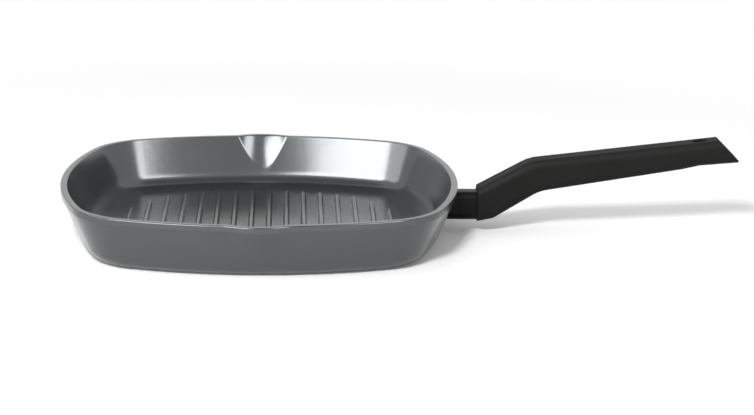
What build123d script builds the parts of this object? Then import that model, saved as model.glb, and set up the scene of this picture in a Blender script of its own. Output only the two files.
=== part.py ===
"""Square cast grill pan with two pouring lips and a fixed angled handle.

Millimetres. The origin is the centre of the flat base, on the surface that the pan stands on.
+X runs along the handle, +Z is up, and the pouring lips are at the middle of the two Y sides.
"""

from build123d import *
from math import cos, degrees, radians, sqrt, tan
import os

# Pan body: plan and height
pan_width = 280.0
pan_height = 38.4
side_bow_radius = 275.0
corner_radius = 53.0

# Pan body: rim, wall and floor
lip_height = 4.4
lip_step = 0.7
rim_land = 4.6
rim_edge_radius = 0.8
outer_draft = 22.0
base_edge_radius = 14.0
floor_thickness = 5.0
inner_draft = 20.0
floor_edge_radius = 13.0

# Pouring lips
spout_half_width = 18.4
spout_bulge_out = 5.0
spout_blend_radius = 14.0
flute_curl_radius = 200.0
flute_sink = 0.05
flute_over_rim = 1.3
bulge_foot_height = 9.0
bulge_foot_share = 0.15
bulge_depth = 12.0
bulge_sink = 0.4

# Ribs
rib_pitch = 12.5
rib_height = 3.6
rib_base_width = 3.6
rib_draft = 8.0
rib_top_radius = 0.6
rib_field_half_x = 97.5
rib_field_half_y = 82.5
rib_field_margin = 3.0
rib_field_power = 2.4
rib_root = 0.5

# Base plate
plate_radius = 95.0
plate_thickness = 0.8
plate_clearance = 0.1
plate_hole_radius = 2.2
plate_ring_count = 5
plate_hole_spacing = 16.0
plate_ring_step = 6

# Neck, between the pan wall and the handle
neck_axis_height = 19.4
neck_reach = 14.5
neck_width = 18.6
neck_height = 20.4
neck_corner_radius = 6.0
sleeve_wall = 2.0
sleeve_wall_clearance = 0.2
lug_clearance = 0.3
lug_corner_radius = 3.7

# Handle: side profile, from the front face backwards
handle_width = 22.0
front_height_above = 13.0
front_height_below = 11.0
heel_length = 11.3
heel_angle = 11.0
leg_length_under = 32.7
leg_angle_under = 31.4
leg_length_top = 37.0
leg_angle_top = 28.5
grip_length_under = 101.3
grip_angle_under = 9.3
grip_angle_top = 6.75
step_length = 12.0
step_angle = 13.0
tail_length = 29.5
tail_angle = 4.9
tip_cut_angle = 45.0
heel_radius = 10.0
knee_radius = 30.0
step_radius = 20.0
handle_edge_radius = 5.5
tip_edge_radius = 0.8
socket_depth = 2.5
socket_clearance = 0.2

# Hanging slot in the handle's tail
slot_length = 10.0
slot_width = 7.5
slot_tip_distance = 28.7
slot_edge_radius = 0.8

# Handle screw, its spring washer and its holes
screw_radius = 2.5
screw_length = 25.0
screw_hole_clearance = 0.25
thread_clearance = 0.05
thread_hole_extra = 2.0
head_radius = 4.6
head_height = 3.2
head_edge_radius = 1.4
cross_width = 1.2
cross_length = 5.0
cross_depth = 1.8
seat_thickness = 6.0
washer_thickness = 1.2
washer_radius = 4.4
washer_clearance = 0.2
washer_split = 1.0
counterbore_radius = 5.3

half_width = pan_width / 2
neck_end_x = half_width + neck_reach
spout_window = 2 * spout_half_width
lip_bottom = pan_height - lip_height
socket_floor_x = neck_end_x + socket_depth
seat_x = socket_floor_x + seat_thickness
head_x = seat_x + washer_thickness
screw_tip_x = head_x - screw_length


def bowed_square(inset):
    """Face with four bowed sides and tangent corner arcs, moved inwards by inset."""
    reach = side_bow_radius - half_width
    gap = side_bow_radius - corner_radius
    corner = (sqrt(2 * gap**2 - reach**2) - reach) / 2
    side_r = side_bow_radius - inset
    corner_r = corner_radius - inset
    join_x = side_r * (corner + reach) / gap - reach
    join_y = side_r * corner / gap
    corner_mid = corner + corner_r * cos(radians(45))
    side = ThreePointArc((join_x, -join_y), (half_width - inset, 0), (join_x, join_y))
    bend = ThreePointArc((join_x, join_y), (corner_mid, corner_mid), (join_y, join_x))
    edges = []
    for quarter in range(4):
        turn = Rot(0, 0, 90 * quarter)
        edges += [turn * side, turn * bend]
    return make_face(edges)


def drafted_block(top_inset, top_z, bottom_z, draft, edge_radius):
    """Block narrowing downwards from top_z to bottom_z, with its bottom edge rounded."""
    block = extrude(Pos(0, 0, top_z) * bowed_square(top_inset), amount=-(top_z - bottom_z), taper=draft)
    bottom_edges = block.faces().sort_by(Axis.Z)[0].edges()
    return fillet(bottom_edges, edge_radius)


def lip_radius():
    """Radius of the arc at the rim through a lip's two corners and its outermost point."""
    sag = spout_bulge_out + spout_half_width**2 / (2 * (side_bow_radius - rim_land))
    return (spout_half_width**2 + sag**2) / (2 * sag)


def lip_centre_y():
    """Distance from the middle of the pan to the centre of that arc."""
    return half_width - rim_land + spout_bulge_out - lip_radius()


def floor_round_middle():
    """Centre of the floor's rounded edge in the section through the lips."""
    half_turn = radians(90 - inner_draft) / 2
    slope = (pan_height - floor_thickness) * tan(radians(inner_draft))
    inset = rim_land + slope + floor_edge_radius * tan(half_turn)
    return Vector(0, half_width - inset, floor_thickness + floor_edge_radius)


def curl_middle():
    """Centre of the arc that touches the floor's rounded edge and curls out to the lip."""
    start = floor_round_middle()
    tip = Vector(0, half_width - rim_land + spout_bulge_out, pan_height)
    apart = (tip - start).length
    start_reach = floor_edge_radius - flute_sink + flute_curl_radius
    along = (start_reach**2 - flute_curl_radius**2 + apart**2) / (2 * apart)
    aside = sqrt(start_reach**2 - along**2)
    towards_tip = (tip - start) / apart
    return start + towards_tip * along + towards_tip.cross(Vector(1, 0, 0)) * aside


def flute_radius():
    """Radius of the flute's cross-section, which gives it its width at the rim."""
    middle = curl_middle()
    wall_y = sqrt((side_bow_radius - rim_land) ** 2 - spout_half_width**2) - side_bow_radius + half_width
    depth = Vector(0, wall_y - middle.Y, pan_height - middle.Z).length - flute_curl_radius
    return (spout_half_width**2 + depth**2) / (2 * depth)


def flute(side):
    """Hollow that runs up the inner wall and curls outwards over the lip, carried on above it."""
    middle = curl_middle()
    inward = (floor_round_middle() - middle).normalized()
    section_middle = middle + inward * (flute_curl_radius + flute_radius())
    start = Plane(section_middle, x_dir=(1, 0, 0), z_dir=inward.cross(Vector(1, 0, 0)))
    turn = degrees(flute_over_rim * (pan_height - floor_thickness) / flute_curl_radius)
    hollow = revolve(start * Circle(flute_radius()), Axis(middle, (-1, 0, 0)), revolution_arc=turn)
    return hollow if side > 0 else Rot(0, 0, 180) * hollow


def rim_outline(inset, sink=0.0):
    """Outside of the rim with the two pouring lips blended in, the rest sunk by sink."""
    outline = bowed_square(inset + sink)
    for side in (1, -1):
        outline += Pos(0, side * lip_centre_y()) * Circle(lip_radius() + rim_land - inset)
    corners = [v for v in outline.vertices() if abs(v.X) < spout_window]
    return fillet(corners, spout_blend_radius + inset)


def outer_blank(grow=0.0):
    """Outside of the pan below the lip, grown by a clearance where asked."""
    return drafted_block(lip_step - grow, lip_bottom, -grow, outer_draft, base_edge_radius)


def spout_bulge(side):
    """Outside of one pouring lip, narrowing down the wall to its foot."""
    lip_y = half_width + spout_bulge_out - lip_step
    wall_y = half_width - lip_step - (lip_bottom - bulge_foot_height) * tan(radians(outer_draft))
    foot_y = wall_y - bulge_sink
    window = Rectangle(2 * spout_window, 2 * bulge_depth)
    section = window & (Pos(0, -lip_y) * rim_outline(lip_step, bulge_sink))
    top = Pos(0, lip_y, lip_bottom) * section
    foot = Pos(0, foot_y, bulge_foot_height) * scale(section, by=bulge_foot_share)
    bulge = loft([top, foot], ruled=True)
    return bulge if side > 0 else Rot(0, 0, 180) * bulge


def cavity():
    """Inside of the pan: the drafted hollow and the two flutes that lead to the lips."""
    hollow = drafted_block(rim_land, pan_height, floor_thickness, inner_draft, floor_edge_radius)
    return hollow + [flute(1), flute(-1)]


def rib_half_length(x):
    """Half length of the rib at x, inside the rounded outline of the rib field."""
    share = 1 - (abs(x) / rib_field_half_x) ** rib_field_power
    return rib_field_half_y * share ** (1 / rib_field_power)


def ribs():
    """Ribs along Y, an even number of them side by side across the rib field."""
    root_width = rib_base_width + 2 * rib_root * tan(radians(rib_draft))
    per_side = int((rib_field_half_x - rib_field_margin) / rib_pitch + 0.5)
    all_ribs = []
    for index in range(-per_side, per_side):
        x = (index + 0.5) * rib_pitch
        plan = SlotOverall(2 * rib_half_length(x), root_width, rotation=90)
        start = Pos(x, 0, floor_thickness - rib_root)
        rib = extrude(start * plan, amount=rib_height + rib_root, taper=rib_draft)
        rib = fillet(rib.faces().sort_by(Axis.Z)[-1].edges(), rib_top_radius)
        all_ribs.append(rib)
    return all_ribs


def along_x(section, start_x, end_x):
    """Section drawn about the neck axis, run from start_x to end_x."""
    plane = Plane((start_x, 0, neck_axis_height), x_dir=(0, 1, 0), z_dir=(1, 0, 0))
    return extrude(plane * section, amount=end_x - start_x)


def rod_along_x(radius, start_x, end_x):
    return along_x(Circle(radius), start_x, end_x)


def lug():
    """Cast block on the pan wall that takes the handle screw."""
    width = neck_width - 2 * (sleeve_wall + lug_clearance)
    height = neck_height - 2 * (sleeve_wall + lug_clearance)
    section = RectangleRounded(width, height, lug_corner_radius)
    wall_x = half_width - rim_land - pan_height * tan(radians(inner_draft))
    return along_x(section, wall_x, socket_floor_x)


def pan_body():
    body = extrude(Pos(0, 0, lip_bottom) * rim_outline(0), amount=lip_height)
    body += outer_blank()
    body += [spout_bulge(1), spout_bulge(-1)]
    body += lug()
    body -= cavity()
    body = fillet(body.faces().sort_by(Axis.Z)[-1].edges(), rim_edge_radius)
    body -= extrude(Circle(plate_radius + plate_clearance), amount=plate_thickness)
    body -= rod_along_x(screw_radius + thread_clearance, screw_tip_x - thread_hole_extra, socket_floor_x)
    body += ribs()
    return body


def base_plate():
    """Perforated steel disc in the underside, flush with the base."""
    holes = []
    for ring in range(1, plate_ring_count + 1):
        places = PolarLocations(ring * plate_hole_spacing, ring * plate_ring_step)
        holes += places * Circle(plate_hole_radius)
    return extrude(Circle(plate_radius) - holes, amount=plate_thickness)


def neck_sleeve():
    """Flame guard round the lug, cut to lie on the pan wall and seated in the handle."""
    outside = RectangleRounded(neck_width, neck_height, neck_corner_radius)
    inside = RectangleRounded(
        neck_width - 2 * sleeve_wall, neck_height - 2 * sleeve_wall, lug_corner_radius + lug_clearance
    )
    start_x = half_width - lip_step - lip_bottom * tan(radians(outer_draft))
    return along_x(outside - inside, start_x, socket_floor_x) - outer_blank(sleeve_wall_clearance)


def step_from(point, run, angle):
    """Next point of a profile, run further along X at this angle above it."""
    return (point[0] + run, point[1] + run * tan(radians(angle)))


def tip_top(knee, tip):
    """Where the slanted end meets the top of the grip."""
    rise_top = tan(radians(grip_angle_top))
    rise_cut = -tan(radians(tip_cut_angle))
    x = (tip[1] - knee[1] + rise_top * knee[0] - rise_cut * tip[0]) / (rise_top - rise_cut)
    return (x, knee[1] + rise_top * (x - knee[0]))


def handle_points():
    front_low = (neck_end_x, neck_axis_height - front_height_below)
    front_high = (neck_end_x, neck_axis_height + front_height_above)
    heel = step_from(front_low, heel_length, heel_angle)
    knee_under = step_from(heel, leg_length_under, leg_angle_under)
    grip_end = step_from(knee_under, grip_length_under, grip_angle_under)
    tail = step_from(grip_end, step_length, step_angle)
    tip = step_from(tail, tail_length, tail_angle)
    knee_top = step_from(front_high, leg_length_top, leg_angle_top)
    return [front_low, heel, knee_under, grip_end, tail, tip, tip_top(knee_top, tip), knee_top, front_high]


def handle_blank():
    """Handle's side profile run across its width, with the long edges rounded."""
    points = handle_points()
    radii = [0, heel_radius, knee_radius, step_radius, step_radius, 0, 0, knee_radius, 0]
    outline = FilletPolyline(*points, radius=radii, close=True)
    profile = make_face(Plane.XZ * outline)
    blank = extrude(profile, amount=handle_width / 2, both=True)
    long_edges = []
    for side_face in blank.faces().filter_by(Axis.Y):
        long_edges += side_face.edges().sort_by(Axis.X)[1:-1]
    return fillet(long_edges, handle_edge_radius)


def hanging_slot(body):
    """Cut the hanging slot through the tail and ease its edges."""
    tip = handle_points()[5]
    slot_x = tip[0] - slot_tip_distance
    body -= extrude(Pos(slot_x, 0, 0) * SlotOverall(slot_length, slot_width), amount=2 * tip[1])
    mouth = []
    for edge in body.edges():
        middle = edge.center()
        beside = abs(middle.X - slot_x) <= slot_length / 2 and abs(middle.Y) <= slot_width / 2
        if beside and abs(edge.tangent_at(0.5).Z) < 0.9:
            mouth.append(edge)
    return fillet(mouth, slot_edge_radius)


def handle():
    body = handle_blank()
    slanted_end = body.faces().sort_by(Axis((0, 0, 0), (1, 0, 1)))[-1]
    body = fillet(slanted_end.edges(), tip_edge_radius)
    socket = RectangleRounded(
        neck_width + 2 * socket_clearance, neck_height + 2 * socket_clearance, neck_corner_radius
    )
    body -= along_x(socket, neck_end_x, socket_floor_x)
    body -= rod_along_x(screw_radius + screw_hole_clearance, socket_floor_x, seat_x)
    body -= rod_along_x(counterbore_radius, seat_x, seat_x + leg_length_under)
    return hanging_slot(body)


def handle_screw():
    """Pan head screw with a cross recess, run from the handle's underside into the lug."""
    shank = rod_along_x(screw_radius, screw_tip_x, head_x)
    head = rod_along_x(head_radius, head_x, head_x + head_height)
    head = fillet(head.faces().sort_by(Axis.X)[-1].edges(), head_edge_radius)
    cross = Rectangle(cross_length, cross_width) + Rectangle(cross_width, cross_length)
    top_x = head_x + head_height
    return shank + head - along_x(cross, top_x - cross_depth, top_x)


def spring_washer():
    ring = Circle(washer_radius) - Circle(screw_radius + washer_clearance)
    ring -= Pos(0, washer_radius) * Rectangle(washer_split, 2 * washer_radius)
    return along_x(ring, seat_x, head_x)


parts = {
    "pan_body": pan_body(),
    "base_plate": base_plate(),
    "neck_sleeve": neck_sleeve(),
    "handle": handle(),
    "handle_screw": handle_screw(),
    "spring_washer": spring_washer(),
}

os.makedirs("parts", exist_ok=True)
for name, shape in parts.items():
    export_step(shape, f"parts/{name}.step")
    size = shape.bounding_box().size
    print(f"{name}: {len(shape.solids())} solid, {shape.volume / 1000:.1f} cm3")
    print(f"    {size.X:.1f} x {size.Y:.1f} x {size.Z:.1f}")
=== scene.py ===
"""Square cast grill pan: the finish of every piece, the studio floor, the light and the camera."""

import math

import bmesh
import bpy
import numpy as np
from mathutils import Matrix, Vector


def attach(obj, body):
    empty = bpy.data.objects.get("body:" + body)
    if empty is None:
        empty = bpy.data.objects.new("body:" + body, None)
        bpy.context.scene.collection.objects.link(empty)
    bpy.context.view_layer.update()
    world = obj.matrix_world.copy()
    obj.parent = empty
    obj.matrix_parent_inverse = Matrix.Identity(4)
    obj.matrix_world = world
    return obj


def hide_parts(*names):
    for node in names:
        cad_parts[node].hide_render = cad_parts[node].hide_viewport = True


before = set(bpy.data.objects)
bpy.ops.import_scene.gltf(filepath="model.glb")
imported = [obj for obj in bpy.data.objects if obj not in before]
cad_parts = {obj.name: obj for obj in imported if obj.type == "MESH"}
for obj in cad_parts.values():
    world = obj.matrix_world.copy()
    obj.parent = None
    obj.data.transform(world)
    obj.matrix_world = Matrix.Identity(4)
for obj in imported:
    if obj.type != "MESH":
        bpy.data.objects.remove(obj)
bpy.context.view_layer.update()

# Pan casting
# One aluminium casting with a grey non-stick coat all over. It is cast to shape, trimmed round
# the rim and turned flat underneath. Wall, floor, rim and both pouring lips are one skin here.
MM = 0.001
pan_width = 280.0
pan_height = 38.4
side_bow_radius = 275.0
corner_radius = 53.0
lip_height = 4.4
lip_step = 0.7
rim_land = 4.6
rim_edge_radius = 0.8
outer_draft = math.radians(22)
inner_draft = math.radians(20)
base_edge_radius = 14.0
floor_edge_radius = 13.0
floor_thickness = 5.0
plate_recess_radius = 95.1
plate_recess_depth = 0.8
spout_half_width = 18.4
spout_bulge_out = 5.0
lip_ease = 0.05
flute_curl_radius = 200.0
flute_blend = 0.3
bulge_foot_height = 9.0
bulge_foot_inset = 0.4
bulge_taper = 0.85
bulge_blend = 4.0
lip_blend = 2.0
lip_under_radius = 0.35
lip_under_inset = 0.12
half_width = pan_width / 2
lip_bottom = pan_height - lip_height

spout_sag = spout_bulge_out + spout_half_width**2 / (2 * (side_bow_radius - rim_land))
flute_radius = (spout_half_width**2 + spout_sag**2) / (2 * spout_sag)
flute_centre = half_width - rim_land + spout_bulge_out - flute_radius


def rim_stations():
    """Points round the rim with the inward direction at each, closest together at the lips."""
    reach = side_bow_radius - half_width
    gap = side_bow_radius - corner_radius
    corner = (math.sqrt(2 * gap**2 - reach**2) - reach) / 2
    side_turn = math.atan2(corner, corner + reach)
    lip_reach = 1.5 * spout_half_width / side_bow_radius
    fine = np.linspace(-lip_reach, lip_reach, 93)
    coarse = np.linspace(lip_reach, side_turn, 22)[1:]
    with_lip = np.concatenate([-coarse[::-1], fine, coarse])
    plain = np.linspace(-side_turn, side_turn, 60)
    bend = np.linspace(side_turn, math.pi / 2 - side_turn, 34)[1:-1]
    points, inward = [], []
    for quarter in range(4):
        turn = quarter * math.pi / 2
        side = with_lip if quarter % 2 else plain
        bow = (side, (-reach, 0), side_bow_radius)
        turn_in = (bend, (corner, corner), corner_radius)
        for angles, centre, radius in (bow, turn_in):
            for angle in angles:
                spot = np.array([centre[0] + radius * math.cos(angle), centre[1] + radius * math.sin(angle)])
                spin = np.array([[math.cos(turn), -math.sin(turn)], [math.sin(turn), math.cos(turn)]])
                points.append(spin @ spot)
                inward.append(-(spin @ np.array([math.cos(angle), math.sin(angle)])))
    return np.array(points), np.array(inward)


def soft_least(a, b, reach):
    """The lesser of two offsets, with the crease between them rounded."""
    blend = np.clip(1 - np.abs(a - b) / reach, 0, 1)
    return np.minimum(a, b) - blend**2 * reach / 4


def lip_offset(points, inward, centre, radius):
    """Offset at which the inward ray of each station meets the lip's circle, or a large one."""
    offset = np.full(len(points), 1e3)
    for side in (1, -1):
        away = points - np.array([0, side * centre])
        along = (away * inward).sum(1)
        room = along**2 - ((away**2).sum(1) - radius**2)
        hits = (room > 0) & (points[:, 1] * side > 0) & (np.abs(points[:, 0]) < 2 * spout_half_width)
        offset[hits] = (-along - np.sqrt(np.maximum(room, 0)))[hits]
    return offset


def outer_offset(z):
    """Offset of the outside below the lip at height z, with the rounded base edge."""
    foot = lip_step + lip_bottom * math.tan(outer_draft)
    start = foot + base_edge_radius * math.tan((math.pi / 2 - outer_draft) / 2)
    if z > base_edge_radius * (1 - math.sin(outer_draft)):
        return lip_step + (lip_bottom - z) * math.tan(outer_draft)
    return start - math.sqrt(base_edge_radius**2 - (base_edge_radius - z) ** 2)


def inner_offset(z):
    """Offset of the inside at height z, with the rounded floor edge."""
    rise = z - floor_thickness
    foot = rim_land + (pan_height - floor_thickness) * math.tan(inner_draft)
    start = foot + floor_edge_radius * math.tan((math.pi / 2 - inner_draft) / 2)
    if rise > floor_edge_radius * (1 - math.sin(inner_draft)):
        return rim_land + (pan_height - z) * math.tan(inner_draft)
    return start - math.sqrt(max(floor_edge_radius**2 - (floor_edge_radius - rise) ** 2, 0))


def outside_row(points, inward, z, extra=0.0):
    """One ring round the outside at height z, moved inwards by extra."""
    if z >= lip_bottom:
        wall, centre, soft = 0.0, flute_centre, lip_blend
        radius = flute_radius + rim_land - lip_ease
    else:
        share = 1 - bulge_taper * (lip_bottom - z) / (lip_bottom - bulge_foot_height)
        wall = outer_offset(z)
        radius = (flute_radius + rim_land - lip_step) * share
        top_y = half_width + spout_bulge_out - lip_step
        foot_y = half_width - outer_offset(bulge_foot_height) - bulge_foot_inset
        front_y = foot_y + (top_y - foot_y) * (z - bulge_foot_height) / (lip_bottom - bulge_foot_height)
        centre = front_y - radius
        soft = bulge_blend * max(share, 0.1)
    offset = np.full(len(points), wall)
    if z > bulge_foot_height:
        offset = soft_least(offset, lip_offset(points, inward, centre, radius), soft)
    return points + inward * (offset + extra)[:, None]


def flute_ring():
    """Centre of the flute's curl, the radius of its cross-section and the height of its foot."""
    inset = rim_land + (pan_height - floor_thickness) * math.tan(inner_draft)
    inset += floor_edge_radius * math.tan((math.pi / 2 - inner_draft) / 2)
    start = Vector((half_width - inset, floor_thickness + floor_edge_radius))
    tip = Vector((half_width - rim_land + spout_bulge_out, pan_height))
    apart = (tip - start).length
    reach = floor_edge_radius + flute_curl_radius
    along = (reach**2 - flute_curl_radius**2 + apart**2) / (2 * apart)
    aside = math.sqrt(reach**2 - along**2)
    towards = (tip - start) / apart
    middle = start + towards * along + Vector((towards.y, -towards.x)) * aside
    inner_side = side_bow_radius - rim_land
    wall_y = math.sqrt(inner_side**2 - spout_half_width**2) - side_bow_radius + half_width
    depth = math.hypot(wall_y - middle.x, pan_height - middle.y) - flute_curl_radius
    foot = middle.y + flute_curl_radius * (start.y - middle.y) / reach
    return middle, (spout_half_width**2 + depth**2) / (2 * depth), foot


def flute_offset(points, inward, z):
    """Offset of the flute's surface at height z along each station's inward ray."""
    middle, radius, foot = flute_ring()
    y, fall = np.abs(points[:, 1]), -np.sign(points[:, 1]) * inward[:, 1]
    near = (np.abs(points[:, 0]) < 2 * spout_half_width) & (fall > 0.5) & (z > foot)
    fall = np.where(near, fall, 1)
    offset = np.zeros(len(points))
    for _ in range(4):
        x = np.clip(points[:, 0] + inward[:, 0] * offset, -radius, radius)
        away = flute_curl_radius + radius - np.sqrt(radius**2 - x**2)
        offset = (y - middle.x + np.sqrt(np.maximum(away**2 - (z - middle.y) ** 2, 0))) / fall
    return np.where(near, offset, 1e3)


def inside_row(points, inward, z, extra=0.0):
    """One ring round the inside at height z, moved inwards by extra."""
    offset = np.full(len(points), inner_offset(z))
    offset = soft_least(offset, flute_offset(points, inward, z), flute_blend)
    return points + inward * (offset + extra)[:, None]


def quarter_round(count):
    """Pairs of sine and cosine round a right angle."""
    return [(math.sin(t), math.cos(t)) for t in np.linspace(0, math.pi / 2, count)]


def casting_rings():
    """All rings of the casting's skin, from the recess underneath over the rim to the floor."""
    points, inward = rim_stations()
    round_angle = np.arctan2(points[:, 1], points[:, 0])
    disc = np.stack([np.cos(round_angle), np.sin(round_angle)], 1) * plate_recess_radius
    rings = []

    def add(flat, z):
        rings.append(np.column_stack([flat, np.full(len(flat), z)]))

    for share in (0.2, 0.5, 0.8, 0.999):
        add(disc * share, plate_recess_depth)
    add(disc, plate_recess_depth)
    add(disc, 0.05)
    add(disc * 1.001, 0)
    base_edge = outside_row(points, inward, 0.0)
    for share in (0.3, 0.7, 1.0):
        add(disc + (base_edge - disc) * share, 0)
    turn_height = base_edge_radius * (1 - math.sin(outer_draft))
    for share in np.linspace(0, 1, 15)[1:]:
        z = base_edge_radius * (1 - math.cos(share * (math.pi / 2 - outer_draft)))
        add(outside_row(points, inward, z), z)
    for z in np.linspace(turn_height, lip_bottom - 0.3, 30)[1:]:
        add(outside_row(points, inward, z), z)
    under_lip = outside_row(points, inward, lip_bottom - 0.001)
    add(under_lip + inward * lip_under_inset, lip_bottom - lip_under_inset)
    for sine, cosine in quarter_round(4):
        z = lip_bottom + lip_under_radius * (1 - cosine)
        add(outside_row(points, inward, lip_bottom, lip_under_radius * (1 - sine)), z)
    for z in np.linspace(lip_bottom + lip_under_radius, pan_height - rim_edge_radius, 5)[1:]:
        add(outside_row(points, inward, z), z)
    for sine, cosine in quarter_round(7)[1:]:
        z = pan_height - rim_edge_radius * (1 - sine)
        add(outside_row(points, inward, pan_height, rim_edge_radius * (1 - cosine)), z)
    outer_top = outside_row(points, inward, pan_height, rim_edge_radius)
    inner_top = inside_row(points, inward, pan_height, -rim_edge_radius)
    for share in (0.25, 0.5, 0.75, 1.0):
        add(outer_top + (inner_top - outer_top) * share, pan_height)
    edge_turn = math.pi / 2 - inner_draft
    for step in range(1, 7):
        turn = edge_turn * step / 6
        extra = -rim_edge_radius * math.tan(edge_turn / 2) + rim_edge_radius * math.sin(turn)
        z = pan_height - rim_edge_radius * (1 - math.cos(turn))
        slope = (pan_height - z) * math.tan(inner_draft)
        add(inside_row(points, inward, z, extra - slope), z)
    floor_turn = floor_thickness + floor_edge_radius * (1 - math.sin(inner_draft))
    for z in np.linspace(pan_height - 1.4, floor_turn, 34):
        add(inside_row(points, inward, z), z)
    for share in np.linspace(1, 0, 17)[1:]:
        z = floor_thickness + floor_edge_radius * (1 - math.cos(share * (math.pi / 2 - inner_draft)))
        add(inside_row(points, inward, z), z)
    floor_edge = inside_row(points, inward, floor_thickness)
    for share in (0.96, 0.85, 0.6, 0.3):
        add(floor_edge * share, floor_thickness)
    return rings


def face_outwards(mesh):
    """Turn every face's normal outwards."""
    work = bmesh.new()
    work.from_mesh(mesh)
    bmesh.ops.recalc_face_normals(work, faces=work.faces)
    work.to_mesh(mesh)
    work.free()


def skin_from_rings(name, rings, low_pole, high_pole):
    """Closed mesh through rings of equal count, with a point at each end."""
    count = len(rings[0])
    verts = [low_pole] + [tuple(p) for ring in rings for p in ring] + [high_pole]
    faces = []
    for level in range(len(rings) - 1):
        for i in range(count):
            a, b = 1 + level * count + i, 1 + level * count + (i + 1) % count
            faces.append((a, b, b + count, a + count))
    last = 1 + (len(rings) - 1) * count
    for i in range(count):
        j = (i + 1) % count
        faces.append((0, 1 + j, 1 + i))
        faces.append((last + i, last + j, len(verts) - 1))
    mesh = bpy.data.meshes.new(name)
    mesh.from_pydata([[c * MM for c in v] for v in verts], [], faces)
    mesh.update()
    face_outwards(mesh)
    mesh.shade_smooth()
    piece = bpy.data.objects.new(name, mesh)
    bpy.context.scene.collection.objects.link(piece)
    return piece


def new_material(name):
    """New node material, with its tree and its main shader."""
    material = bpy.data.materials.new(name)
    material.use_nodes = True
    tree = material.node_tree
    shader = tree.nodes["Principled BSDF"]
    return material, tree, shader


def object_noise(tree, scale, detail=2.0, roughness=0.5):
    """Noise in the piece's own coordinates, in features per metre."""
    place = tree.nodes.new("ShaderNodeTexCoord")
    noise = tree.nodes.new("ShaderNodeTexNoise")
    noise.inputs["Scale"].default_value = scale
    noise.inputs["Detail"].default_value = detail
    noise.inputs["Roughness"].default_value = roughness
    tree.links.new(place.outputs["Object"], noise.inputs["Vector"])
    return noise.outputs["Fac"]


def spread(tree, value, low, high):
    """Value from 0.3 to 0.7 spread over low to high."""
    node = tree.nodes.new("ShaderNodeMapRange")
    node.inputs["From Min"].default_value = 0.3
    node.inputs["From Max"].default_value = 0.7
    node.inputs["To Min"].default_value = low
    node.inputs["To Max"].default_value = high
    tree.links.new(value, node.inputs["Value"])
    return node.outputs["Result"]


def colour_between(tree, value, dark, light):
    """Colour between dark and light by value."""
    node = tree.nodes.new("ShaderNodeMix")
    node.data_type = "RGBA"
    node.inputs["A"].default_value = (*dark, 1)
    node.inputs["B"].default_value = (*light, 1)
    tree.links.new(value, node.inputs["Factor"])
    return node.outputs["Result"]


def bumps(tree, shader, value, strength, depth, after=None):
    """Fine relief on the shader's normal, on top of an earlier one where given."""
    node = tree.nodes.new("ShaderNodeBump")
    node.inputs["Strength"].default_value = strength
    node.inputs["Distance"].default_value = depth
    tree.links.new(value, node.inputs["Height"])
    if after is not None:
        tree.links.new(after, node.inputs["Normal"])
    tree.links.new(node.outputs["Normal"], shader.inputs["Normal"])
    return node.outputs["Normal"]


def pan_coat():
    """Grey metallic non-stick coat with a fine flake grain."""
    material, tree, shader = new_material("grey_nonstick_coat")
    grain = object_noise(tree, 2600, 3.0, 0.6)
    cloud = object_noise(tree, 22, 3.0, 0.5)
    tint = colour_between(tree, spread(tree, grain, 0, 1), (0.083, 0.086, 0.088), (0.112, 0.117, 0.12))
    tree.links.new(tint, shader.inputs["Base Color"])
    tree.links.new(spread(tree, cloud, 0.17, 0.21), shader.inputs["Roughness"])
    shader.inputs["Metallic"].default_value = 0.8
    fine = bumps(tree, shader, grain, 0.25, 0.00005)
    bumps(tree, shader, object_noise(tree, 140, 2.0), 0.1, 0.0003, fine)
    return material


pan_coat_material = pan_coat()
casting = skin_from_rings("pan_casting", casting_rings(), (0, 0, plate_recess_depth), (0, 0, floor_thickness))
casting.data.materials.append(pan_coat_material)
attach(casting, "root")
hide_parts("pan_body")

# Grill ribs
# Sixteen narrow ribs cast with the floor, from lip to lip, inside a rounded-square field.
# Their flanks have draft, their tops are rounded and their feet run out into the floor.
rib_pitch = 12.5
rib_height = 3.6
rib_field_half_x = 97.5
rib_field_half_y = 82.5
rib_field_power = 2.4
rib_base_half = 1.8
rib_draft = math.radians(8)
rib_top_radius = 0.6
rib_foot_radius = 0.5
rib_root = 0.3


def rib_levels():
    """Half width and height of a rib from its root, round its foot, up its flank to its top."""
    levels = [(rib_base_half + rib_foot_radius, -rib_root)]
    for turn in np.linspace(0, math.pi / 2, 5):
        out = rib_foot_radius * (1 - math.sin(turn))
        half = rib_base_half - math.tan(rib_draft) * rib_foot_radius + out
        levels.append((half, rib_foot_radius * (1 - math.cos(turn))))
    top_half = rib_base_half - math.tan(rib_draft) * rib_height
    for turn in np.linspace(0, math.pi / 2, 6):
        inside = rib_top_radius * (1 - math.cos(turn))
        levels.append((top_half - inside, rib_height - rib_top_radius * (1 - math.sin(turn))))
    return levels + [(top_half - rib_top_radius - 0.3, rib_height)]


def rib_blank():
    """Shortest rib: its two rounded ends back to back, to be drawn apart to each rib's length."""
    ends = 13
    verts, faces = [], []
    for half, height in rib_levels():
        for side in (1, -1):
            for turn in np.linspace(0, math.pi, ends):
                x, y = half * math.cos(turn), half * math.sin(turn) + 0.001
                verts.append((side * x * MM, side * y * MM, height * MM))
    count = 2 * ends
    levels = len(verts) // count
    for level in range(levels - 1):
        for i in range(count):
            a, b = level * count + i, level * count + (i + 1) % count
            faces.append((a, b, b + count, a + count))
    faces.append(tuple(range(count))[::-1])
    faces.append(tuple(range((levels - 1) * count, levels * count)))
    mesh = bpy.data.meshes.new("rib_blank")
    mesh.from_pydata(verts, [], faces)
    piece = bpy.data.objects.new("rib_blank", mesh)
    bpy.context.scene.collection.objects.link(piece)
    return piece


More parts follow.
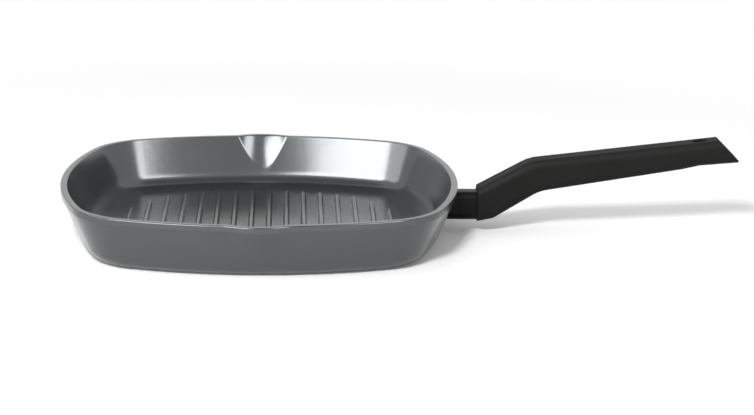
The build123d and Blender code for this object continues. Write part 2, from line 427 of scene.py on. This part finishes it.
def math_node(tree, operation, a, b=None):
    """One arithmetic step on sockets or numbers."""
    node = tree.nodes.new("ShaderNodeMath")
    node.operation = operation
    for socket, value in zip(node.inputs, (a, b)):
        if value is None:
            continue
        if isinstance(value, (int, float)):
            socket.default_value = value
        else:
            tree.links.new(value, socket)
    return node.outputs[0]


def add_input(tree, name, kind, value=None):
    """Named input of a geometry tree, with its starting value."""
    item = tree.interface.new_socket(name, in_out="INPUT", socket_type=kind)
    if value is not None:
        item.default_value = value
    return item


def make_ribs(material):
    """Ribs as copies of the blank in a row, each drawn out to the edge of the rib field."""
    blank = rib_blank()
    tree = bpy.data.node_groups.new("grill_ribs", "GeometryNodeTree")
    tree.interface.new_socket("Geometry", in_out="OUTPUT", socket_type="NodeSocketGeometry")
    add_input(tree, "Blank", "NodeSocketObject")
    add_input(tree, "Finish", "NodeSocketMaterial")
    add_input(tree, "Count", "NodeSocketInt", 16)
    add_input(tree, "Pitch", "NodeSocketFloat", rib_pitch * MM)
    add_input(tree, "Field half X", "NodeSocketFloat", rib_field_half_x * MM)
    add_input(tree, "Field half Y", "NodeSocketFloat", rib_field_half_y * MM)
    add_input(tree, "Field power", "NodeSocketFloat", rib_field_power)
    add_input(tree, "End half width", "NodeSocketFloat", rib_base_half * MM)
    new, link = tree.nodes.new, tree.links.new
    given = new("NodeGroupInput").outputs
    result = new("NodeGroupOutput")

    row = new("GeometryNodeMeshLine")
    row.mode = "OFFSET"
    link(given["Count"], row.inputs["Count"])
    step = new("ShaderNodeCombineXYZ")
    link(given["Pitch"], step.inputs["X"])
    link(step.outputs[0], row.inputs["Offset"])
    span = math_node(tree, "MULTIPLY", math_node(tree, "SUBTRACT", given["Count"], 1.0), given["Pitch"])
    start = new("ShaderNodeCombineXYZ")
    link(math_node(tree, "MULTIPLY", span, -0.5), start.inputs["X"])
    start.inputs["Z"].default_value = floor_thickness * MM
    link(start.outputs[0], row.inputs["Start Location"])

    place = new("GeometryNodeInputPosition")
    across = new("ShaderNodeSeparateXYZ")
    link(place.outputs[0], across.inputs[0])
    share = math_node(tree, "DIVIDE", math_node(tree, "ABSOLUTE", across.outputs["X"]), given["Field half X"])
    rest = math_node(tree, "SUBTRACT", 1.0, math_node(tree, "POWER", share, given["Field power"]))
    root = math_node(tree, "POWER", rest, math_node(tree, "DIVIDE", 1.0, given["Field power"]))
    half_length = math_node(tree, "MULTIPLY", root, given["Field half Y"])
    keep = new("GeometryNodeStoreNamedAttribute")
    keep.data_type = "FLOAT"
    keep.domain = "POINT"
    keep.inputs["Name"].default_value = "half_length"
    link(row.outputs["Mesh"], keep.inputs["Geometry"])
    link(math_node(tree, "SUBTRACT", half_length, given["End half width"]), keep.inputs["Value"])

    shape = new("GeometryNodeObjectInfo")
    link(given["Blank"], shape.inputs["Object"])
    copies = new("GeometryNodeInstanceOnPoints")
    link(keep.outputs["Geometry"], copies.inputs["Points"])
    link(shape.outputs["Geometry"], copies.inputs["Instance"])
    real = new("GeometryNodeRealizeInstances")
    link(copies.outputs["Instances"], real.inputs["Geometry"])

    stored = new("GeometryNodeInputNamedAttribute")
    stored.data_type = "FLOAT"
    stored.inputs["Name"].default_value = "half_length"
    here = new("GeometryNodeInputPosition")
    along = new("ShaderNodeSeparateXYZ")
    link(here.outputs[0], along.inputs[0])
    end = math_node(tree, "SIGN", along.outputs["Y"])
    draw = math_node(tree, "MULTIPLY", end, stored.outputs["Attribute"])
    shift = new("ShaderNodeCombineXYZ")
    link(draw, shift.inputs["Y"])
    move = new("GeometryNodeSetPosition")
    link(real.outputs["Geometry"], move.inputs["Geometry"])
    link(shift.outputs[0], move.inputs["Offset"])
    dress = new("GeometryNodeSetMaterial")
    link(move.outputs["Geometry"], dress.inputs["Geometry"])
    link(given["Finish"], dress.inputs["Material"])
    link(dress.outputs["Geometry"], result.inputs["Geometry"])

    piece = plain_mesh_from_tree("grill_ribs", tree, {"Blank": blank, "Finish": material})
    bpy.data.objects.remove(blank)
    return piece


def plain_mesh_from_tree(name, tree, values):
    """Run a geometry tree on an empty mesh and keep its result as a plain mesh."""
    holder = bpy.data.objects.new(name + "_maker", bpy.data.meshes.new(name + "_seed"))
    bpy.context.scene.collection.objects.link(holder)
    modifier = holder.modifiers.new("make", "NODES")
    modifier.node_group = tree
    for item in tree.interface.items_tree:
        if item.item_type == "SOCKET" and item.in_out == "INPUT" and item.name in values:
            modifier[item.identifier] = values[item.name]
    view = bpy.context.evaluated_depsgraph_get()
    mesh = bpy.data.meshes.new_from_object(holder.evaluated_get(view), depsgraph=view)
    holder.modifiers.remove(modifier)
    bpy.data.objects.remove(holder)
    face_outwards(mesh)
    mesh.name = name
    piece = bpy.data.objects.new(name, mesh)
    bpy.context.scene.collection.objects.link(piece)
    return piece


ribs = make_ribs(pan_coat_material)
ribs.data.shade_smooth()
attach(ribs, "root")

# Cast lug and pips
# Aluminium of the same casting: the lug that the handle is screwed to, hidden by the sleeve, and
# the pips that fill the holes of the base plate. The lug's root lies inside the pan's wall.
lug_half_width = 7.0
lug_half_height = 7.9
lug_corner = 3.7
lug_axis_height = 19.4
lug_root_x = 127.5
lug_root_slope = 0.41
lug_end_x = 157.0
screw_hole_radius = 2.55
screw_hole_end_x = 137.2
hole_rings = 5
hole_spacing = 16.0
pip_radius = 2.15


def lug_rings():
    """Rings of the lug from its root in the wall, along its outside and back down its hole."""
    turns = np.linspace(0, 2 * math.pi, 49)[:-1]
    side, rise = np.cos(turns), np.sin(turns)
    hole = np.column_stack([side, rise]) * screw_hole_radius
    wide = np.copysign(lug_half_width - lug_corner, side) + lug_corner * side
    tall = np.copysign(lug_half_height - lug_corner, rise) + lug_corner * rise
    outline = np.column_stack([wide, tall])
    rings = []
    for flat, x in (
        (outline, lug_root_x),
        (outline, lug_end_x - 0.4),
        (outline * 0.95, lug_end_x),
        (hole, lug_end_x),
        (hole, screw_hole_end_x),
    ):
        rings.append(np.column_stack([np.full(len(flat), x), flat[:, 0], flat[:, 1] + lug_axis_height]))
    rings[0][:, 0] += lug_root_slope * (tall + lug_half_height)
    return rings


def make_pips(material):
    """Pips as copies of one low disc on the rings of holes."""
    turns = np.linspace(0, 2 * math.pi, 25)[:-1]
    disc = np.column_stack([np.cos(turns), np.sin(turns)]) * pip_radius
    low, high = 0.0, plate_recess_depth + 0.2
    levels = [np.column_stack([disc, np.full(len(disc), z)]) for z in (low, high)]
    blank = skin_from_rings("pip_blank", levels, (0, 0, low), (0, 0, high))
    spots = []
    for ring in range(1, hole_rings + 1):
        for turn in np.linspace(0, 2 * math.pi, 6 * ring + 1)[:-1]:
            reach = ring * hole_spacing * MM
            spots.append((reach * math.cos(turn), reach * math.sin(turn), 0))
    spot_mesh = bpy.data.meshes.new("pip_places")
    spot_mesh.from_pydata(spots, [], [])
    places = bpy.data.objects.new("pip_places", spot_mesh)
    bpy.context.scene.collection.objects.link(places)

    tree = bpy.data.node_groups.new("plate_pips", "GeometryNodeTree")
    tree.interface.new_socket("Geometry", in_out="OUTPUT", socket_type="NodeSocketGeometry")
    add_input(tree, "Places", "NodeSocketObject")
    add_input(tree, "Blank", "NodeSocketObject")
    add_input(tree, "Finish", "NodeSocketMaterial")
    new, link = tree.nodes.new, tree.links.new
    given = new("NodeGroupInput").outputs
    where = new("GeometryNodeObjectInfo")
    link(given["Places"], where.inputs["Object"])
    shape = new("GeometryNodeObjectInfo")
    link(given["Blank"], shape.inputs["Object"])
    copies = new("GeometryNodeInstanceOnPoints")
    link(where.outputs["Geometry"], copies.inputs["Points"])
    link(shape.outputs["Geometry"], copies.inputs["Instance"])
    real = new("GeometryNodeRealizeInstances")
    link(copies.outputs["Instances"], real.inputs["Geometry"])
    dress = new("GeometryNodeSetMaterial")
    link(real.outputs["Geometry"], dress.inputs["Geometry"])
    link(given["Finish"], dress.inputs["Material"])
    link(dress.outputs["Geometry"], new("NodeGroupOutput").inputs["Geometry"])

    piece = plain_mesh_from_tree("plate_pips", tree, {"Places": places, "Blank": blank, "Finish": material})
    bpy.data.objects.remove(blank)
    bpy.data.objects.remove(places)
    return piece


root_middle = (lug_root_x + lug_root_slope * lug_half_height, 0, lug_axis_height)
hole_bottom = (screw_hole_end_x, 0, lug_axis_height)
lug = skin_from_rings("cast_lug", lug_rings(), root_middle, hole_bottom)
lug.data.materials.append(pan_coat_material)
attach(lug, "root")
pips = make_pips(pan_coat_material)
pips.data.shade_flat()
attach(pips, "root")

# Base plate
# Perforated steel disc pressed flush into the underside. It is stamped from sheet, and the
# pan is turned underneath after pressing, which leaves fine rings about its centre.


def base_steel():
    """Turned stainless steel with fine rings."""
    material, tree, shader = new_material("turned_base_steel")
    place = tree.nodes.new("ShaderNodeTexCoord")
    wave = tree.nodes.new("ShaderNodeTexWave")
    wave.wave_type = "RINGS"
    wave.rings_direction = "Z"
    wave.inputs["Scale"].default_value = 420
    wave.inputs["Distortion"].default_value = 0.6
    wave.inputs["Detail"].default_value = 2
    tree.links.new(place.outputs["Object"], wave.inputs["Vector"])
    tint = colour_between(tree, wave.outputs["Fac"], (0.42, 0.42, 0.42), (0.56, 0.56, 0.555))
    tree.links.new(tint, shader.inputs["Base Color"])
    tree.links.new(spread(tree, object_noise(tree, 60), 0.26, 0.36), shader.inputs["Roughness"])
    shader.inputs["Metallic"].default_value = 1.0
    bumps(tree, shader, wave.outputs["Fac"], 0.2, 0.00004)
    return material


def dress_node(name, material):
    """Give a CAD node its finish."""
    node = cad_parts[name]
    node.data.materials.clear()
    node.data.materials.append(material)


dress_node("base_plate", base_steel())

# Neck sleeve
# Black-enamelled flame guard round the cast lug, between the wall and the handle. It is pressed
# from tube, cut to lie on the wall, and its other end sits in the handle.


def black_enamel():
    """Black enamel with a low gloss and slight orange peel."""
    material, tree, shader = new_material("black_enamel")
    cloud = object_noise(tree, 90, 2.0)
    tint = colour_between(tree, spread(tree, cloud, 0, 1), (0.002, 0.002, 0.002), (0.0035, 0.0035, 0.0035))
    tree.links.new(tint, shader.inputs["Base Color"])
    tree.links.new(spread(tree, cloud, 0.32, 0.42), shader.inputs["Roughness"])
    shader.inputs["Specular IOR Level"].default_value = 0.12
    bumps(tree, shader, object_noise(tree, 700, 2.0), 0.15, 0.00008)
    return material


dress_node("neck_sleeve", black_enamel())

# Handle
# Black heat-proof moulding, with the fine matt spark grain of its mould. The shine varies a
# little from place to place.


def black_moulding():
    """Matt black moulding with a fine grain."""
    material, tree, shader = new_material("black_moulding")
    grain = object_noise(tree, 1500, 3.0, 0.6)
    cloud = object_noise(tree, 30, 3.0, 0.5)
    tint = colour_between(tree, spread(tree, cloud, 0, 1), (0.0045, 0.0043, 0.004), (0.007, 0.0068, 0.0064))
    tree.links.new(tint, shader.inputs["Base Color"])
    tree.links.new(spread(tree, cloud, 0.6, 0.7), shader.inputs["Roughness"])
    shader.inputs["Specular IOR Level"].default_value = 0.15
    bumps(tree, shader, grain, 0.35, 0.0001)
    return material


dress_node("handle", black_moulding())

# Handle screw and its spring washer
# Zinc-plated pan head screw with a cross recess, reached from under the handle, and the split
# washer under its head. Both are turned or coiled steel with the same plating.


def zinc_plate():
    """Zinc plating: pale, slightly cloudy metal."""
    material, tree, shader = new_material("zinc_plate")
    cloud = object_noise(tree, 400, 2.0)
    tint = colour_between(tree, spread(tree, cloud, 0, 1), (0.5, 0.51, 0.53), (0.62, 0.63, 0.64))
    tree.links.new(tint, shader.inputs["Base Color"])
    tree.links.new(spread(tree, cloud, 0.28, 0.4), shader.inputs["Roughness"])
    shader.inputs["Metallic"].default_value = 1.0
    bumps(tree, shader, cloud, 0.1, 0.0001)
    return material


zinc = zinc_plate()
dress_node("handle_screw", zinc)
dress_node("spring_washer", zinc)

# Studio floor and backdrop
# One white sweep under and behind the pan. It shows white to the camera and in reflections,
# and keeps the pan's own shadow.
floor_size = 6.0


def white_floor():
    """Matt white sheet near the pan, running out into plain white that only the eye sees."""
    material, tree, shader = new_material("white_floor")
    shader.inputs["Base Color"].default_value = (0.9, 0.9, 0.9, 1)
    shader.inputs["Roughness"].default_value = 0.8
    shader.inputs["Specular IOR Level"].default_value = 0.1
    sight = bright_to_eye(tree)
    place = tree.nodes.new("ShaderNodeTexCoord")
    length = tree.nodes.new("ShaderNodeVectorMath")
    length.operation = "LENGTH"
    tree.links.new(place.outputs["Object"], length.inputs[0])
    far = tree.nodes.new("ShaderNodeMapRange")
    far.interpolation_type = "SMOOTHSTEP"
    far.inputs["From Min"].default_value = 0.42
    far.inputs["From Max"].default_value = 0.75
    tree.links.new(length.outputs["Value"], far.inputs["Value"])
    lift = tree.nodes.new("ShaderNodeEmission")
    tree.links.new(math_node(tree, "MULTIPLY", sight, 0.1), lift.inputs["Strength"])
    near = tree.nodes.new("ShaderNodeAddShader")
    tree.links.new(shader.outputs[0], near.inputs[0])
    tree.links.new(lift.outputs[0], near.inputs[1])
    plain = tree.nodes.new("ShaderNodeEmission")
    plain.inputs["Strength"].default_value = 1.0
    mix = tree.nodes.new("ShaderNodeMixShader")
    tree.links.new(math_node(tree, "MULTIPLY", far.outputs["Result"], sight), mix.inputs["Fac"])
    tree.links.new(near.outputs[0], mix.inputs[1])
    tree.links.new(plain.outputs[0], mix.inputs[2])
    tree.links.new(mix.outputs[0], tree.nodes["Material Output"].inputs["Surface"])
    return material


def bright_to_eye(tree):
    """One for camera, glossy and transmission rays, nothing for the light that falls on things."""
    path = tree.nodes.new("ShaderNodeLightPath")
    either = math_node(tree, "MAXIMUM", path.outputs["Is Camera Ray"], path.outputs["Is Glossy Ray"])
    return math_node(tree, "MAXIMUM", either, path.outputs["Is Transmission Ray"])


floor_mesh = bpy.data.meshes.new("studio_floor")
edge = floor_size / 2
floor_corners = [(-edge, -edge, 0), (edge, -edge, 0), (edge, edge, 0), (-edge, edge, 0)]
floor_mesh.from_pydata(floor_corners, [], [(0, 1, 2, 3)])
floor = bpy.data.objects.new("studio_floor", floor_mesh)
floor_mesh.materials.append(white_floor())
bpy.context.scene.collection.objects.link(floor)

# World and lamps
# White surroundings, brighter from the left, light the pan from all round. Three soft boxes show
# only as reflections in its coat, and a small high lamp at the front left casts the shadow.
world = bpy.data.worlds.new("studio")
bpy.context.scene.world = world
world.use_nodes = True
tree = world.node_tree
back = tree.nodes["Background"]
back.inputs["Color"].default_value = (1, 1, 1, 1)
sight = bright_to_eye(tree)
place = tree.nodes.new("ShaderNodeTexCoord")
apart = tree.nodes.new("ShaderNodeSeparateXYZ")
tree.links.new(place.outputs["Generated"], apart.inputs[0])
overhead = tree.nodes.new("ShaderNodeMapRange")
overhead.interpolation_type = "SMOOTHSTEP"
overhead.inputs["From Min"].default_value = 0.86
overhead.inputs["From Max"].default_value = 0.97
overhead.inputs["To Min"].default_value = 1.0
overhead.inputs["To Max"].default_value = 0.35
tree.links.new(apart.outputs["Z"], overhead.inputs["Value"])
side = tree.nodes.new("ShaderNodeMapRange")
side.inputs["From Min"].default_value = -1.0
side.inputs["From Max"].default_value = 1.0
side.inputs["To Min"].default_value = 1.15
side.inputs["To Max"].default_value = 0.2
tree.links.new(apart.outputs["X"], side.inputs["Value"])
level = tree.nodes.new("ShaderNodeMix")
tree.links.new(sight, level.inputs["Factor"])
tree.links.new(side.outputs["Result"], level.inputs["A"])
tree.links.new(overhead.outputs["Result"], level.inputs["B"])
tree.links.new(level.outputs["Result"], back.inputs["Strength"])


def soft_lamp(name, place, target, size, power):
    """Rectangular soft box aimed at a point."""
    data = bpy.data.lights.new(name, "AREA")
    data.shape = "RECTANGLE"
    data.size, data.size_y = size
    data.energy = power
    lamp = bpy.data.objects.new(name, data)
    lamp.location = place
    aim = Vector(target) - Vector(place)
    lamp.rotation_euler = aim.to_track_quat("-Z", "Y").to_euler()
    bpy.context.scene.collection.objects.link(lamp)
    return lamp


back_wall_foot = (0, 0.1, 0.02)
left_box = soft_lamp("front_left_box", (-0.80, -0.98, 1.02), back_wall_foot, (1.1, 1.05), 40)
right_box = soft_lamp("front_right_box", (0.9, -0.87, 0.985), back_wall_foot, (0.5, 1.1), 13)
side_box = soft_lamp("left_side_box", (-1.5, -0.25, 0.85), back_wall_foot, (1.1, 0.9), 9)
for box in (left_box, right_box, side_box):
    box.visible_diffuse = False
key = soft_lamp("high_key", (-0.35, -1.39, 1.17), (0.2, 0, 0), (0.3, 0.3), 29)
key.visible_glossy = False

# Camera
# At the photograph's own place and angle, worked out from the pan's outline.
image_width = 754
focal_pixels = 2291.5
camera_place = Vector((19.7, -1585.0, 414.0)) * MM
yaw, pitch, roll = math.radians(2.3), math.radians(14.07), math.radians(0.85)

forward = Vector((math.sin(yaw) * math.cos(pitch), math.cos(yaw) * math.cos(pitch), -math.sin(pitch)))
level_right = Vector((math.cos(yaw), -math.sin(yaw), 0))
level_up = level_right.cross(forward)
right = level_right * math.cos(roll) + level_up * math.sin(roll)
up = level_up * math.cos(roll) - level_right * math.sin(roll)
camera_data = bpy.data.cameras.new("camera")
camera_data.sensor_width = 36
camera_data.lens = 36 * focal_pixels / image_width
camera = bpy.data.objects.new("camera", camera_data)
turned = Matrix((right, up, -forward)).transposed().to_4x4()
camera.matrix_world = Matrix.Translation(camera_place) @ turned
bpy.context.scene.collection.objects.link(camera)
bpy.context.scene.camera = camera
bpy.context.scene.view_settings.view_transform = "Standard"
